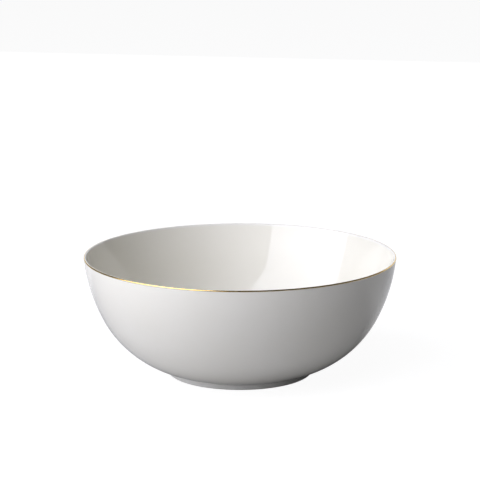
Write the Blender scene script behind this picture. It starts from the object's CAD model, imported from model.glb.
import logging
import math
from dataclasses import dataclass, field
from enum import Enum
from typing import Sequence, Tuple

import bpy
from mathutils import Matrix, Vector


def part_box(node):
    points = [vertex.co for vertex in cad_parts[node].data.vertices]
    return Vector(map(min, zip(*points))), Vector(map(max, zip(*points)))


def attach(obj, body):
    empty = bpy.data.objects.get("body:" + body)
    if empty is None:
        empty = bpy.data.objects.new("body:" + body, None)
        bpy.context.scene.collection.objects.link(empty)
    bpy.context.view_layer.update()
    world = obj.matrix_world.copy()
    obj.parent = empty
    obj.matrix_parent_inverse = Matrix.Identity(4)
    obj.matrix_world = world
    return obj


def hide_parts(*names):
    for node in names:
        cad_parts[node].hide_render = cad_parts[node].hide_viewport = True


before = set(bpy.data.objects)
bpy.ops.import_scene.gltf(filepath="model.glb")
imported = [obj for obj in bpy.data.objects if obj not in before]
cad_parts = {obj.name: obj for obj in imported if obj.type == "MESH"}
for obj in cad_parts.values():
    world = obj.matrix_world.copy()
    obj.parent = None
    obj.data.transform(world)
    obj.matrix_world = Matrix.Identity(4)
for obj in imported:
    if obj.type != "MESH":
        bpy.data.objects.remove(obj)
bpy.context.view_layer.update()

# A porcelain serving bowl with a gilded lip, in metres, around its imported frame. Every piece is turned
# on a lathe: its half-section is drawn in the XZ plane, radius across and height up, then spun about Z.

log = logging.getLogger("serving_bowl")

Point = Tuple[float, float]
Colour = Tuple[float, float, float, float]


def polar(centre: Point, radius: float, degrees: float) -> Point:
    """Find a point of the half-section from a centre.

    Args:
        centre: (radius across, height) of the centre.
        radius: distance from the centre, in metres.
        degrees: angle from outwards-level, positive upwards.

    Returns:
        The point as (radius across, height).
    """
    angle = math.radians(degrees)
    return centre[0] + radius * math.cos(angle), centre[1] + radius * math.sin(angle)


class Turning(Enum):
    """How many flat steps a piece gets round its full turn."""

    FINE = 320
    PLAIN = 160


class Lathe:
    """Draws the half-section of one piece with edit-mode tools, then spins it about Z."""

    SEED_SIZE = 0.001
    MERGE = 1e-6
    SHARP_EDGE = math.radians(35)

    def __init__(self, name: str, start: Point) -> None:
        """Put down the first point of the section.

        Args:
            name: name of the finished piece.
            start: first point, as (radius across, height).
        """
        if bpy.context.object is not None and bpy.context.object.mode != "OBJECT":
            bpy.ops.object.mode_set(mode="OBJECT")
        bpy.ops.object.select_all(action="DESELECT")
        bpy.ops.mesh.primitive_plane_add(size=self.SEED_SIZE, location=(0, 0, 0))
        self.piece = bpy.context.object
        self.piece.name = name
        self.piece.data.name = name
        bpy.ops.object.mode_set(mode="EDIT")
        bpy.ops.mesh.select_all(action="SELECT")
        bpy.ops.mesh.merge(type="CENTER")
        bpy.ops.transform.translate(value=(start[0], 0, start[1]))
        self.at = start

    def line(self, across: float, up: float, steps: int = 1) -> "Lathe":
        """Extrude a straight edge to a point, in one or more equal steps."""
        step = ((across - self.at[0]) / steps, 0, (up - self.at[1]) / steps)
        for _ in range(steps):
            bpy.ops.mesh.extrude_region_move(TRANSFORM_OT_translate={"value": step})
        self.at = (across, up)
        return self

    def arc(self, centre: Point, degrees: float, steps: int) -> "Lathe":
        """Spin the last point round a centre to draw an arc.

        Args:
            centre: centre of the arc in the section.
            degrees: angle turned, positive anticlockwise as the section is seen from -Y.
            steps: number of edges in the arc.

        Returns:
            The lathe, so that strokes can be chained.
        """
        bpy.ops.mesh.spin(steps=steps, angle=math.radians(degrees), center=(centre[0], 0, centre[1]),
                          axis=(0, 1, 0), use_auto_merge=False)
        radius = math.dist(centre, self.at)
        start = math.degrees(math.atan2(self.at[1] - centre[1], self.at[0] - centre[0]))
        self.at = polar(centre, radius, start + degrees)
        return self

    def spin(self, turning: Turning) -> bpy.types.Object:
        """Spin the section a full turn, close its seams and poles, and point its faces outwards.

        Args:
            turning: how many steps the turn gets.

        Returns:
            The finished piece.
        """
        bpy.ops.mesh.select_all(action="SELECT")
        bpy.ops.mesh.remove_doubles(threshold=self.MERGE)
        bpy.ops.mesh.spin(steps=turning.value, angle=math.tau, center=(0, 0, 0), axis=(0, 0, 1))
        bpy.ops.mesh.select_all(action="SELECT")
        bpy.ops.mesh.remove_doubles(threshold=self.MERGE)
        bpy.ops.mesh.normals_make_consistent(inside=False)
        bpy.ops.object.mode_set(mode="OBJECT")
        bpy.ops.object.shade_smooth_by_angle(angle=self.SHARP_EDGE)
        return self.piece


@dataclass(frozen=True)
class Form:
    """The bowl's shape: sizes measured on the frame, and the curves of its inside and outside."""

    mouth_radius: float
    height: float
    glaze: float
    bare_underside: float
    floor: float
    foot_radius: float
    bare_foot: float
    lip_radius: float = 0.0008
    outer_lean: float = 5.4
    outer_upper_radius: float = 0.127
    outer_turn: float = 22.0
    outer_lower_radius: float = 0.082
    inner_lean: float = 13.6
    inner_upper_radius: float = 0.300
    inner_lower_radius: float = 0.076
    foot_root_radius: float = 0.0508
    foot_taper: float = 20.0
    foot_rounding: float = 0.0008
    crease_radius: float = 0.0010
    root_radius: float = 0.0012

    @classmethod
    def from_frame(cls) -> "Form":
        """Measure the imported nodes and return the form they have."""
        glazed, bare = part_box("outside_glaze"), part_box("bowl_body")
        glaze = bare[0].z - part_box("backstamp")[1].z
        return cls(
            mouth_radius=round(glazed[1].x, 4),
            height=glazed[1].z,
            glaze=glaze,
            bare_underside=bare[0].z,
            floor=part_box("inside_glaze")[0].z + glaze,
            foot_radius=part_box("foot_ring")[1].x + glaze,
            bare_foot=glazed[0].z,
        )

    @property
    def lip_centre(self) -> Point:
        """Centre of the lip's rounding."""
        return self.mouth_radius - self.lip_radius, self.height - self.lip_radius

    def outer_centres(self) -> Tuple[Point, Point]:
        """Centres of the outside's upper and lower curves."""
        upper = polar(self.lip_centre, self.outer_upper_radius - self.lip_radius, 180 - self.outer_lean)
        reach = self.outer_upper_radius - self.outer_lower_radius
        return upper, polar(upper, reach, -self.outer_lean - self.outer_turn)

    def inner_centres(self) -> Tuple[Point, Point, float]:
        """Centres of the inside's upper and lower curves, and the angle at which they meet."""
        upper = polar(self.lip_centre, self.inner_upper_radius + self.lip_radius, 180 - self.inner_lean)
        reach = self.inner_upper_radius - self.inner_lower_radius
        drop = upper[1] - self.floor - self.inner_lower_radius
        join = -math.degrees(math.asin(drop / reach))
        return upper, polar(upper, reach, join), join


@dataclass(frozen=True)
class Steps:
    """How many edges each stretch of the half-section gets."""

    lip: int = 14
    upper: int = 18
    lower: int = 36
    floor: int = 8
    corner: int = 8
    standing_edge: int = 2
    skirt: int = 4
    taper: int = 3


class Wiring:
    """A small hand for adding nodes to one tree and linking them."""

    def __init__(self, tree: bpy.types.NodeTree) -> None:
        """Take the tree that the nodes go into."""
        self.tree = tree

    def add(self, kind: str, links: dict = None, **settings: object) -> bpy.types.Node:
        """Add a node.

        Args:
            kind: the node's type.
            links: for each input name or number, a socket to link or a plain value.
            settings: properties of the node itself.

        Returns:
            The new node.
        """
        node = self.tree.nodes.new(kind)
        for key, value in settings.items():
            setattr(node, key, value)
        for key, value in (links or {}).items():
            self.feed(node.inputs[key], value)
        return node

    def feed(self, socket: bpy.types.NodeSocket, value: object) -> None:
        """Link a socket to another one, or give it a plain value."""
        if isinstance(value, bpy.types.NodeSocket):
            self.tree.links.new(value, socket)
        else:
            socket.default_value = value

    def clear(self) -> None:
        """Take out the nodes that a new tree comes with."""
        self.tree.nodes.clear()


class Nodes(Wiring):
    """The nodes of one of the bowl's materials."""

    def __init__(self, name: str) -> None:
        """Make the material with its shader and object coordinates.

        Args:
            name: name of the material.
        """
        self.material = bpy.data.materials.new(name)
        self.material.use_nodes = True
        super().__init__(self.material.node_tree)
        self.shader = self.tree.nodes["Principled BSDF"]
        self.place = self.add("ShaderNodeTexCoord").outputs["Object"]

    def noise(self, feature: float, detail: float = 2.0,
              place: bpy.types.NodeSocket = None) -> bpy.types.NodeSocket:
        """A soft noise, with features of a size in metres, as a socket from 0 to 1."""
        links = {"Vector": place or self.place, "Scale": 1.0 / feature, "Detail": detail}
        return self.add("ShaderNodeTexNoise", links).outputs["Fac"]

    def spread(self, value: bpy.types.NodeSocket, low: float, high: float, to_low: float,
               to_high: float, smooth: bool = False) -> bpy.types.NodeSocket:
        """Carry a value from one range to another, held at its ends."""
        node = self.add("ShaderNodeMapRange", {"Value": value, "From Min": low, "From Max": high,
                                               "To Min": to_low, "To Max": to_high})
        node.interpolation_type = "SMOOTHSTEP" if smooth else "LINEAR"
        return node.outputs["Result"]

    def blend(self, amount: object, first: object, second: object) -> bpy.types.NodeSocket:
        """Mix two colours by an amount from 0 to 1."""
        node = self.add("ShaderNodeMix", data_type="RGBA")
        self.feed(node.inputs[0], amount)
        self.feed(node.inputs[6], first)
        self.feed(node.inputs[7], second)
        return node.outputs[2]

    def sum(self, operation: str, *values: object) -> bpy.types.NodeSocket:
        """One arithmetic step on one or more values."""
        node = self.add("ShaderNodeMath", operation=operation)
        for socket, value in zip(node.inputs, values):
            self.feed(socket, value)
        return node.outputs[0]

    def split(self) -> Tuple[bpy.types.NodeSocket, bpy.types.NodeSocket, bpy.types.NodeSocket]:
        """Distance from the bowl's axis, height, and angle round the axis."""
        axes = self.add("ShaderNodeSeparateXYZ", {"Vector": self.place}).outputs
        across = self.sum("SQRT", self.sum("ADD", self.sum("MULTIPLY", axes["X"], axes["X"]),
                                           self.sum("MULTIPLY", axes["Y"], axes["Y"])))
        return across, axes["Z"], self.sum("ARCTAN2", axes["Y"], axes["X"])

    def bumps(self, *layers: Tuple[bpy.types.NodeSocket, float]) -> None:
        """Lay bumps on the shader, each a height from 0 to 1 and its depth in metres."""
        normal = None
        for height, depth in layers:
            links = {"Height": height, "Distance": depth, "Strength": 1.0}
            if normal is not None:
                links["Normal"] = normal
            normal = self.add("ShaderNodeBump", links).outputs["Normal"]
        self.feed(self.shader.inputs["Normal"], normal)

    def finish(self, **values: object) -> bpy.types.Material:
        """Give the shader's sockets their values or links; underscores stand for spaces."""
        for key, value in values.items():
            self.feed(self.shader.inputs[key.replace("_", " ")], value)
        return self.material


@dataclass(frozen=True)
class WhiteGlaze:
    """Clear, glossy glaze over white porcelain, thin on the lip and gathered at the foot."""

    name: str
    body: Colour = (0.832, 0.806, 0.712, 1)
    cloud: Colour = (0.842, 0.817, 0.728, 1)
    thin: Colour = (0.855, 0.838, 0.780, 1)
    pooled: Colour = (0.700, 0.705, 0.700, 1)
    cloud_size: float = 0.035
    cloud_range: Tuple[float, float] = (0.35, 0.65)
    thin_in_lip_radii: float = 3
    pool_width: float = 0.0045
    pool_height: float = 0.002
    pool_share: float = 0.35
    peel_size: float = 0.0030
    peel_depth: float = 0.0000012
    wave_size: float = 0.030
    wave_depth: float = 0.000012
    smear_range: Tuple[float, float] = (0.3, 0.7)
    gloss: Tuple[float, float] = (0.035, 0.060)
    index: float = 1.5

    def make(self, form: Form) -> bpy.types.Material:
        """Wire the material.

        Args:
            form: the bowl's sizes, for where the glaze is thin and where it gathers.

        Returns:
            The material.
        """
        nodes = Nodes(self.name)
        across, up, _ = nodes.split()
        clouds = nodes.spread(nodes.noise(self.cloud_size, detail=3), *self.cloud_range, 0.0, 1.0)
        colour = nodes.blend(clouds, self.body, self.cloud)
        thins_from = form.height - self.thin_in_lip_radii * form.lip_radius
        lip = nodes.spread(up, thins_from, form.height, 0.0, 1.0, smooth=True)
        colour = nodes.blend(lip, colour, self.thin)
        foot, base = form.foot_radius, form.bare_underside
        near_foot = nodes.spread(across, foot, foot + self.pool_width, 1.0, 0.0, smooth=True)
        low = nodes.spread(up, base, base + self.pool_height, 1.0, 0.0, smooth=True)
        gathered = nodes.sum("MULTIPLY", nodes.sum("MULTIPLY", near_foot, low), self.pool_share)
        colour = nodes.blend(gathered, colour, self.pooled)
        smears = nodes.spread(nodes.noise(self.cloud_size / 2, detail=4), *self.smear_range, *self.gloss)
        nodes.bumps((nodes.noise(self.wave_size, detail=1), self.wave_depth),
                    (nodes.noise(self.peel_size, detail=1), self.peel_depth))
        return nodes.finish(Base_Color=colour, Roughness=smears, IOR=self.index)


@dataclass(frozen=True)
class BarePorcelain:
    """Unglazed, fired porcelain: matt, faintly warm, with a fine grain."""

    name: str
    clay: Colour = (0.74, 0.71, 0.66, 1)
    grit: Colour = (0.68, 0.65, 0.60, 1)
    worn: Colour = (0.60, 0.57, 0.53, 1)
    grain_size: float = 0.0004
    grain_depth: float = 0.00001
    grain_range: Tuple[float, float] = (0.3, 0.7)
    dullness: Tuple[float, float] = (0.6, 0.85)
    patch_size: float = 0.006
    patch_range: Tuple[float, float] = (0.5, 0.75)
    patch_share: float = 0.6

    def make(self) -> bpy.types.Material:
        """Wire the material and return it."""
        nodes = Nodes(self.name)
        grain = nodes.noise(self.grain_size, detail=3)
        patches = nodes.noise(self.patch_size, detail=4)
        patches = nodes.spread(patches, *self.patch_range, 0.0, self.patch_share)
        colour = nodes.blend(patches, nodes.blend(grain, self.clay, self.grit), self.worn)
        roughness = nodes.spread(grain, *self.grain_range, *self.dullness)
        nodes.bumps((grain, self.grain_depth))
        return nodes.finish(Base_Color=colour, Roughness=roughness)


@dataclass(frozen=True)
class FiredGold:
    """Bright gold, brushed on in one turn of the wheel and fired: fine streaks follow the lip."""

    name: str
    rich: Colour = (0.80, 0.57, 0.21, 1)
    pale: Colour = (0.84, 0.63, 0.28, 1)
    cloud_size: float = 0.008
    cloud_range: Tuple[float, float] = (0.35, 0.65)
    streaks_across: float = 0.00012
    streak_length: float = 0.010
    streak_depth: float = 0.0000005
    streak_range: Tuple[float, float] = (0.3, 0.7)
    gloss: Tuple[float, float] = (0.18, 0.28)

    def make(self) -> bpy.types.Material:
        """Wire the material and return it."""
        nodes = Nodes(self.name)
        across, up, turn = nodes.split()
        way_round = nodes.sum("MULTIPLY", turn, across)
        along = nodes.sum("MULTIPLY", way_round, self.streaks_across / self.streak_length)
        brush = nodes.add("ShaderNodeCombineXYZ", {"X": across, "Y": up, "Z": along}).outputs["Vector"]
        streaks = nodes.noise(self.streaks_across, detail=2, place=brush)
        clouds = nodes.spread(nodes.noise(self.cloud_size, detail=2), *self.cloud_range, 0.0, 1.0)
        colour = nodes.blend(clouds, self.rich, self.pale)
        roughness = nodes.spread(streaks, *self.streak_range, *self.gloss)
        nodes.bumps((streaks, self.streak_depth))
        return nodes.finish(Base_Color=colour, Roughness=roughness, Metallic=1.0)


@dataclass(frozen=True)
class StampColour:
    """Grey-green stamp colour, a little uneven where the rubber stamp took up less of it."""

    name: str
    full: Colour = (0.075, 0.095, 0.090, 1)
    faint: Colour = (0.20, 0.23, 0.22, 1)
    speck_size: float = 0.0005
    speck_depth: float = 0.00001
    faint_range: Tuple[float, float] = (0.45, 0.7)
    speck_range: Tuple[float, float] = (0.3, 0.7)
    gloss: Tuple[float, float] = (0.2, 0.4)

    def make(self) -> bpy.types.Material:
        """Wire the material and return it."""
        nodes = Nodes(self.name)
        specks = nodes.noise(self.speck_size, detail=4)
        colour = nodes.blend(nodes.spread(specks, *self.faint_range, 0.0, 1.0), self.full, self.faint)
        roughness = nodes.spread(specks, *self.speck_range, *self.gloss)
        nodes.bumps((specks, self.speck_depth))
        return nodes.finish(Base_Color=colour, Roughness=roughness)


def dress(piece: bpy.types.Object, material: bpy.types.Material, node: str) -> None:
    """Give a new piece its material and its place in the record.

    Args:
        piece: the piece.
        material: its material.
        node: the frame's node that it stands for.
    """
    piece.data.materials.clear()
    piece.data.materials.append(material)
    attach(piece, "root")
    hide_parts(node)
    log.info("%s: %d faces, for %s", piece.name, len(piece.data.polygons), node)


@dataclass
class Porcelain:
    """The fired body and the foot ring under it."""

    form: Form
    steps: Steps = field(default_factory=Steps)
    finish: BarePorcelain = BarePorcelain("bare_porcelain")

    def body(self) -> bpy.types.Object:
        """Wall and floor, under the glaze."""
        form, steps = self.form, self.steps
        outer_upper, outer_lower = form.outer_centres()
        inner_upper, inner_lower, join = form.inner_centres()
        reach = form.outer_lower_radius - form.glaze
        last = math.degrees(math.asin((outer_lower[1] - form.bare_underside) / reach))
        lathe = Lathe("porcelain_body", (0.0, form.floor - form.glaze))
        lathe.line(inner_lower[0], form.floor - form.glaze, steps.floor)
        lathe.arc(inner_lower, 90 + join, steps.lower)
        lathe.arc(inner_upper, -form.inner_lean - join, steps.upper)
        lathe.arc(form.lip_centre, form.inner_lean - 180 - form.outer_lean, 2 * steps.lip)
        lathe.arc(outer_upper, -form.outer_turn, steps.upper)
        lathe.arc(outer_lower, form.outer_lean + form.outer_turn - last, steps.lower)
        lathe.line(0.0, form.bare_underside, steps.floor)
        return lathe.spin(Turning.PLAIN)

    def foot(self) -> bpy.types.Object:
        """The foot ring, with a rounded, bare standing edge."""
        form, steps = self.form, self.steps
        outer = form.foot_radius - form.glaze
        slope = math.tan(math.radians(form.foot_taper))
        corner = form.foot_rounding
        inner = (form.foot_root_radius + (form.bare_underside - corner) * slope
                 + corner / math.cos(math.radians(form.foot_taper)))
        lathe = Lathe("foot_ring_porcelain", (outer, form.bare_underside))
        lathe.line(outer, corner, steps.corner)
        lathe.arc((outer - corner, corner), -90, steps.corner)
        lathe.line(inner, 0.0, steps.standing_edge)
        lathe.arc((inner, corner), form.foot_taper - 90, steps.corner)
        lathe.line(form.foot_root_radius, form.bare_underside, steps.corner)
        lathe.line(outer, form.bare_underside, steps.corner)
        return lathe.spin(Turning.FINE)

    def build(self) -> None:
        """Make and dress both pieces."""
        material = self.finish.make()
        dress(self.body(), material, "bowl_body")
        dress(self.foot(), material, "foot_ring")


@dataclass
class GlazeCoats:
    """The coats of glaze: inside, outside and under the foot."""

    form: Form
    steps: Steps = field(default_factory=Steps)
    finish: WhiteGlaze = WhiteGlaze("white_glaze")

    def inside(self) -> bpy.types.Object:
        """From the middle of the floor up the wall to the top of the lip, and back against the body."""
        form, steps = self.form, self.steps
        upper, lower, join = form.inner_centres()
        top_x, top = form.lip_centre[0], form.height
        lathe = Lathe("inside_glaze_coat", (0.0, form.floor))
        lathe.line(lower[0], form.floor, steps.floor)
        lathe.arc(lower, 90 + join, steps.lower)
        lathe.arc(upper, -form.inner_lean - join, steps.upper)
        lathe.arc(form.lip_centre, form.inner_lean - 90, steps.lip)
        lathe.line(top_x, top - form.glaze)
        lathe.arc(form.lip_centre, 90 - form.inner_lean, steps.lip)
        lathe.arc(upper, form.inner_lean + join, steps.upper)
        lathe.arc(lower, -90 - join, steps.lower)
        lathe.line(0.0, form.floor - form.glaze, steps.floor)
        return lathe.spin(Turning.FINE)

    def outside(self) -> bpy.types.Object:
        """From the top of the lip down to the foot's bare edge, and back against the body."""
        form, steps = self.form, self.steps
        upper, lower = form.outer_centres()
        crease = form.crease_radius
        hollow_x = form.foot_radius + crease
        reach = form.outer_lower_radius + crease
        hollow = (hollow_x, lower[1] - math.sqrt(reach ** 2 - (hollow_x - lower[0]) ** 2))
        touch = math.degrees(math.atan2(lower[1] - hollow[1], hollow_x - lower[0]))
        joint = form.outer_lean + form.outer_turn
        bare_reach = form.outer_lower_radius - form.glaze
        bare_touch = math.degrees(math.asin((lower[1] - form.bare_underside) / bare_reach))
        lathe = Lathe("outside_glaze_coat", (form.lip_centre[0], form.height))
        lathe.arc(form.lip_centre, -90 - form.outer_lean, steps.lip)
        lathe.arc(upper, -form.outer_turn, steps.upper)
        lathe.arc(lower, joint - touch, steps.lower)
        lathe.arc(hollow, touch, steps.corner)
        lathe.line(form.foot_radius, form.bare_foot, steps.skirt)
        lathe.line(form.foot_radius - form.glaze, form.bare_foot)
        lathe.line(form.foot_radius - form.glaze, form.bare_underside, steps.skirt)
        bare = polar(lower, bare_reach, -bare_touch)
        lathe.line(*bare)
        lathe.arc(lower, bare_touch - joint, steps.lower)
        lathe.arc(upper, form.outer_turn, steps.upper)
        lathe.arc(form.lip_centre, 90 + form.outer_lean, steps.lip)
        lathe.line(form.lip_centre[0], form.height)
        return lathe.spin(Turning.FINE)

    def underside(self) -> bpy.types.Object:
        """Under the floor within the foot ring, and down the ring's tapered face."""
        form, steps = self.form, self.steps
        taper = math.radians(form.foot_taper)
        fillet, ceiling = form.root_radius, form.bare_underside - form.glaze
        bare = (form.foot_root_radius + (form.bare_underside - form.bare_foot) * math.tan(taper),
                form.bare_foot)
        corner = (form.foot_root_radius + (form.glaze + fillet) * math.tan(taper)
                  - (form.glaze + fillet) / math.cos(taper), ceiling - fillet)
        lathe = Lathe("underside_glaze_coat", (0.0, form.bare_underside))
        lathe.line(form.foot_root_radius, form.bare_underside, steps.floor)
        lathe.line(*bare, steps.skirt)
        lathe.line(*polar(bare, form.glaze, 180 + form.foot_taper))
        lathe.line(*polar(corner, fillet, form.foot_taper), steps.taper)
        lathe.arc(corner, 90 - form.foot_taper, steps.corner)
        lathe.line(0.0, ceiling, steps.floor)
        return lathe.spin(Turning.FINE)

    def build(self) -> None:
        """Make and dress the three coats."""
        material = self.finish.make(self.form)
        dress(self.inside(), material, "inside_glaze")
        dress(self.outside(), material, "outside_glaze")
        dress(self.underside(), material, "underside_glaze")


@dataclass
class Gilding:
    """The gilded line round the outside of the lip."""

    form: Form
    finish: FiredGold = FiredGold("fired_gold")
    lip_steps: int = 12
    wall_steps: int = 3

    def line(self) -> bpy.types.Object:
        """A thin band that follows the lip's rounding and the top of the wall."""
        form = self.form
        low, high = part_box("gold_band")
        proud = high.x - form.mouth_radius
        upper, _ = form.outer_centres()
        centre, lean = form.lip_centre, form.outer_lean

        def lip_angle(radius: float) -> float:
            """Angle on a lip arc at the gold's upper edge."""
            return math.degrees(math.asin((high.z - centre[1]) / radius))

        def wall_angle(radius: float) -> float:
            """Angle on a wall arc at the gold's lower edge."""
            return math.degrees(math.asin((upper[1] - low.z) / radius))

        over_lip, over_wall = form.lip_radius + proud, form.outer_upper_radius + proud
        lathe = Lathe("gold_line", polar(centre, form.lip_radius, lip_angle(form.lip_radius)))
        lathe.line(*polar(centre, over_lip, lip_angle(over_lip)))
        lathe.arc(centre, -lean - lip_angle(over_lip), self.lip_steps)
        lathe.arc(upper, lean - wall_angle(over_wall), self.wall_steps)
        lathe.line(*polar(upper, form.outer_upper_radius, -wall_angle(form.outer_upper_radius)))
        lathe.arc(upper, wall_angle(form.outer_upper_radius) - lean, self.wall_steps)
        lathe.arc(centre, lean + lip_angle(form.lip_radius), self.lip_steps)
        return lathe.spin(Turning.FINE)

    def build(self) -> None:
        """Make and dress the line."""
        dress(self.line(), self.finish.make(), "gold_band")


@dataclass
class Mark:
    """The plain mark under the foot: a ring with a dot in it."""

    form: Form
    finish: StampColour = StampColour("stamp_colour")
    line_width: float = 0.0008
    dot_radius: float = 0.0020

    def mark(self) -> bpy.types.Object:
        """Ring and dot, each a thin film with its own closed mesh, joined as one piece."""
        low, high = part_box("backstamp")
        outer = round(high.x, 5)
        lathe = Lathe("underside_mark", (outer - self.line_width, high.z))
        lathe.line(outer, high.z).line(outer, low.z).line(outer - self.line_width, low.z)
        lathe.line(outer - self.line_width, high.z)
        ring = lathe.spin(Turning.PLAIN)
        dot_lathe = Lathe("mark_dot", (0.0, high.z))
        dot_lathe.line(self.dot_radius, high.z).line(self.dot_radius, low.z).line(0.0, low.z)
        dot = dot_lathe.spin(Turning.PLAIN)
        ring.select_set(True)
        dot.select_set(True)
        bpy.context.view_layer.objects.active = ring
        bpy.ops.object.join()
        return ring

    def build(self) -> None:
        """Make and dress the mark."""
        dress(self.mark(), self.finish.make(), "backstamp")


@dataclass(frozen=True)
class Softbox:
    """One soft studio light, aimed at the bowl.

    Azimuth is counted in degrees from the camera's side (-Y) round towards +X. The light faces its
    aim squarely, and is then raised along its own face.
    """

    name: str
    azimuth: float
    elevation: float
    distance: float
    width: float
    height: float
    radiance: float
    raised: float = 0.0
    tint: Tuple[float, float, float] = (1.0, 1.0, 1.0)
    aim: Tuple[float, float, float] = (0.0, 0.0, 0.06)
    seen_in_gloss: bool = True

    def place(self) -> None:
        """Hang the light."""
        turn, rise = math.radians(self.azimuth), math.radians(self.elevation)
        away = Vector((math.sin(turn) * math.cos(rise), -math.cos(turn) * math.cos(rise), math.sin(rise)))
        bpy.ops.object.select_all(action="DESELECT")
        facing = away.to_track_quat("Z", "Y")
        up = facing @ Vector((0, 1, 0))
        place = Vector(self.aim) + away * self.distance + up * self.raised
        bpy.ops.object.light_add(type="AREA", location=place)
        lamp = bpy.context.object
        lamp.name = self.name
        lamp.rotation_euler = facing.to_euler()
        lamp.data.shape = "RECTANGLE"
        lamp.data.size = self.width
        lamp.data.size_y = self.height
        lamp.data.energy = self.radiance * math.pi * self.width * self.height
        lamp.data.color = self.tint
        lamp.visible_camera = False
        lamp.visible_glossy = self.seen_in_gloss


@dataclass
class Studio:
    """A pale floor, soft lights and the camera.

    The sheen is the paler part of the floor: where it lies, as a turn counted as a light's azimuth is,
    and how far from the bowl's axis it begins and is full.
    """

    floor_size: float = 12.0
    floor_drop: float = 0.0002
    floor_albedo: float = 0.50
    floor_glow: float = 0.94
    floor_share: float = 0.15
    sheen_glow: float = 0.40
    sheen_turn: float = 160.0
    sheen_reach: Tuple[float, float] = (0.05, 0.12)
    room_light: float = 0.06
    room_tint: Tuple[float, float, float] = (0.96, 0.96, 1.0)
    lens: float = 134.6
    camera_place: Tuple[float, float, float] = (0.0, -1.351, 0.3908)
    camera_dip: float = 12.01
    sensor_width: float = 36.0
    camera_sees: Tuple[float, float] = (0.05, 50.0)
    lights: Sequence[Softbox] = (
        Softbox("key_light", azimuth=-61, elevation=20, distance=1.5, width=1.92, height=1.90, raised=0.56,
                radiance=3.42, tint=(0.875, 0.890, 1.0)),
        Softbox("top_light", azimuth=-5, elevation=62, distance=1.6, width=0.9, height=0.7,
                radiance=3.0, tint=(0.90, 0.91, 1.0), seen_in_gloss=False),
        Softbox("front_fill", azimuth=-30, elevation=8, distance=2.0, width=0.8, height=0.8,
                radiance=2.2, tint=(0.89, 0.90, 1.0), seen_in_gloss=False),
        Softbox("back_panel", azimuth=168, elevation=0, distance=2.2, width=3.6, height=2.4,
                radiance=0.95, tint=(0.94, 0.95, 1.0)),
    )

    def floor(self) -> None:
        """Lay a wide floor, white to the camera, and paler behind the bowl where its glaze mirrors it.

        It lies a hair under the foot, so that the two faces don't share a plane.
        """
        bpy.ops.object.select_all(action="DESELECT")
        bpy.ops.mesh.primitive_plane_add(size=self.floor_size, location=(0, 0, -self.floor_drop))
        floor = bpy.context.object
        floor.name = "studio_floor"
        material = bpy.data.materials.new("studio_floor")
        material.use_nodes = True
        wiring = Wiring(material.node_tree)
        wiring.clear()
        ray = wiring.add("ShaderNodeLightPath").outputs
        turn = math.radians(self.sheen_turn)
        place = wiring.add("ShaderNodeTexCoord").outputs["Object"]
        toward = wiring.add("ShaderNodeVectorMath", {0: place, 1: (math.sin(turn), -math.cos(turn), 0)},
                            operation="DOT_PRODUCT").outputs["Value"]
        nearest, farthest = self.sheen_reach
        behind = wiring.add("ShaderNodeMapRange", {"Value": toward, "From Min": nearest,
                                                   "From Max": farthest, "To Max": self.sheen_glow})
        mirrored = wiring.add("ShaderNodeMath", {0: behind.outputs["Result"], 1: ray["Is Glossy Ray"]},
                              operation="MULTIPLY").outputs[0]
        paper = wiring.add("ShaderNodeBsdfDiffuse", {"Color": (self.floor_albedo,) * 3 + (1,)})
        sheen = wiring.add("ShaderNodeEmission", {"Strength": mirrored})
        laid = wiring.add("ShaderNodeAddShader", {0: paper.outputs[0], 1: sheen.outputs[0]})
        shade = wiring.add("ShaderNodeBsdfDiffuse", {"Color": (self.floor_share,) * 3 + (1,)})
        glow = wiring.add("ShaderNodeEmission", {"Strength": self.floor_glow})
        seen = wiring.add("ShaderNodeAddShader", {0: shade.outputs[0], 1: glow.outputs[0]})
        pick = wiring.add("ShaderNodeMixShader", {0: ray["Is Camera Ray"], 1: laid.outputs[0],
                                                  2: seen.outputs[0]})
        wiring.add("ShaderNodeOutputMaterial", {"Surface": pick.outputs[0]})
        floor.data.materials.append(material)

    def room(self) -> None:
        """White behind the bowl, and a dim room for everything that it lights and reflects."""
        world = bpy.data.worlds.new("studio_room")
        bpy.context.scene.world = world
        world.use_nodes = True
        wiring = Wiring(world.node_tree)
        wiring.clear()
        ray = wiring.add("ShaderNodeLightPath").outputs
        white = wiring.add("ShaderNodeBackground", {"Color": (1, 1, 1, 1), "Strength": 1.0})
        dim = wiring.add("ShaderNodeBackground", {"Color": self.room_tint + (1,),
                                                  "Strength": self.room_light})
        pick = wiring.add("ShaderNodeMixShader", {0: ray["Is Camera Ray"], 1: dim.outputs[0],
                                                  2: white.outputs[0]})
        wiring.add("ShaderNodeOutputWorld", {"Surface": pick.outputs[0]})

    def camera(self) -> None:
        """The camera, level with a person looking across a table."""
        bpy.ops.object.camera_add(location=self.camera_place,
                                  rotation=(math.radians(90 - self.camera_dip), 0, 0))
        camera = bpy.context.object
        camera.name = "camera"
        camera.data.lens = self.lens
        camera.data.sensor_width = self.sensor_width
        camera.data.clip_start, camera.data.clip_end = self.camera_sees
        bpy.context.scene.camera = camera

    def build(self) -> None:
        """Set up floor, lights, room and camera."""
        self.camera()
        self.floor()
        self.room()
        for light in self.lights:
            light.place()
        bpy.context.scene.view_settings.view_transform = "Standard"
        bpy.context.scene.view_settings.look = "None"
        log.info("studio: %d soft lights", len(self.lights))


def main() -> None:
    """Build the studio and the bowl, piece by piece."""
    logging.basicConfig(level=logging.INFO, format="%(name)s: %(message)s")
    form = Form.from_frame()
    Studio().build()
    Porcelain(form).build()
    GlazeCoats(form).build()
    Gilding(form).build()
    Mark(form).build()


if __name__ == "__main__":
    main()
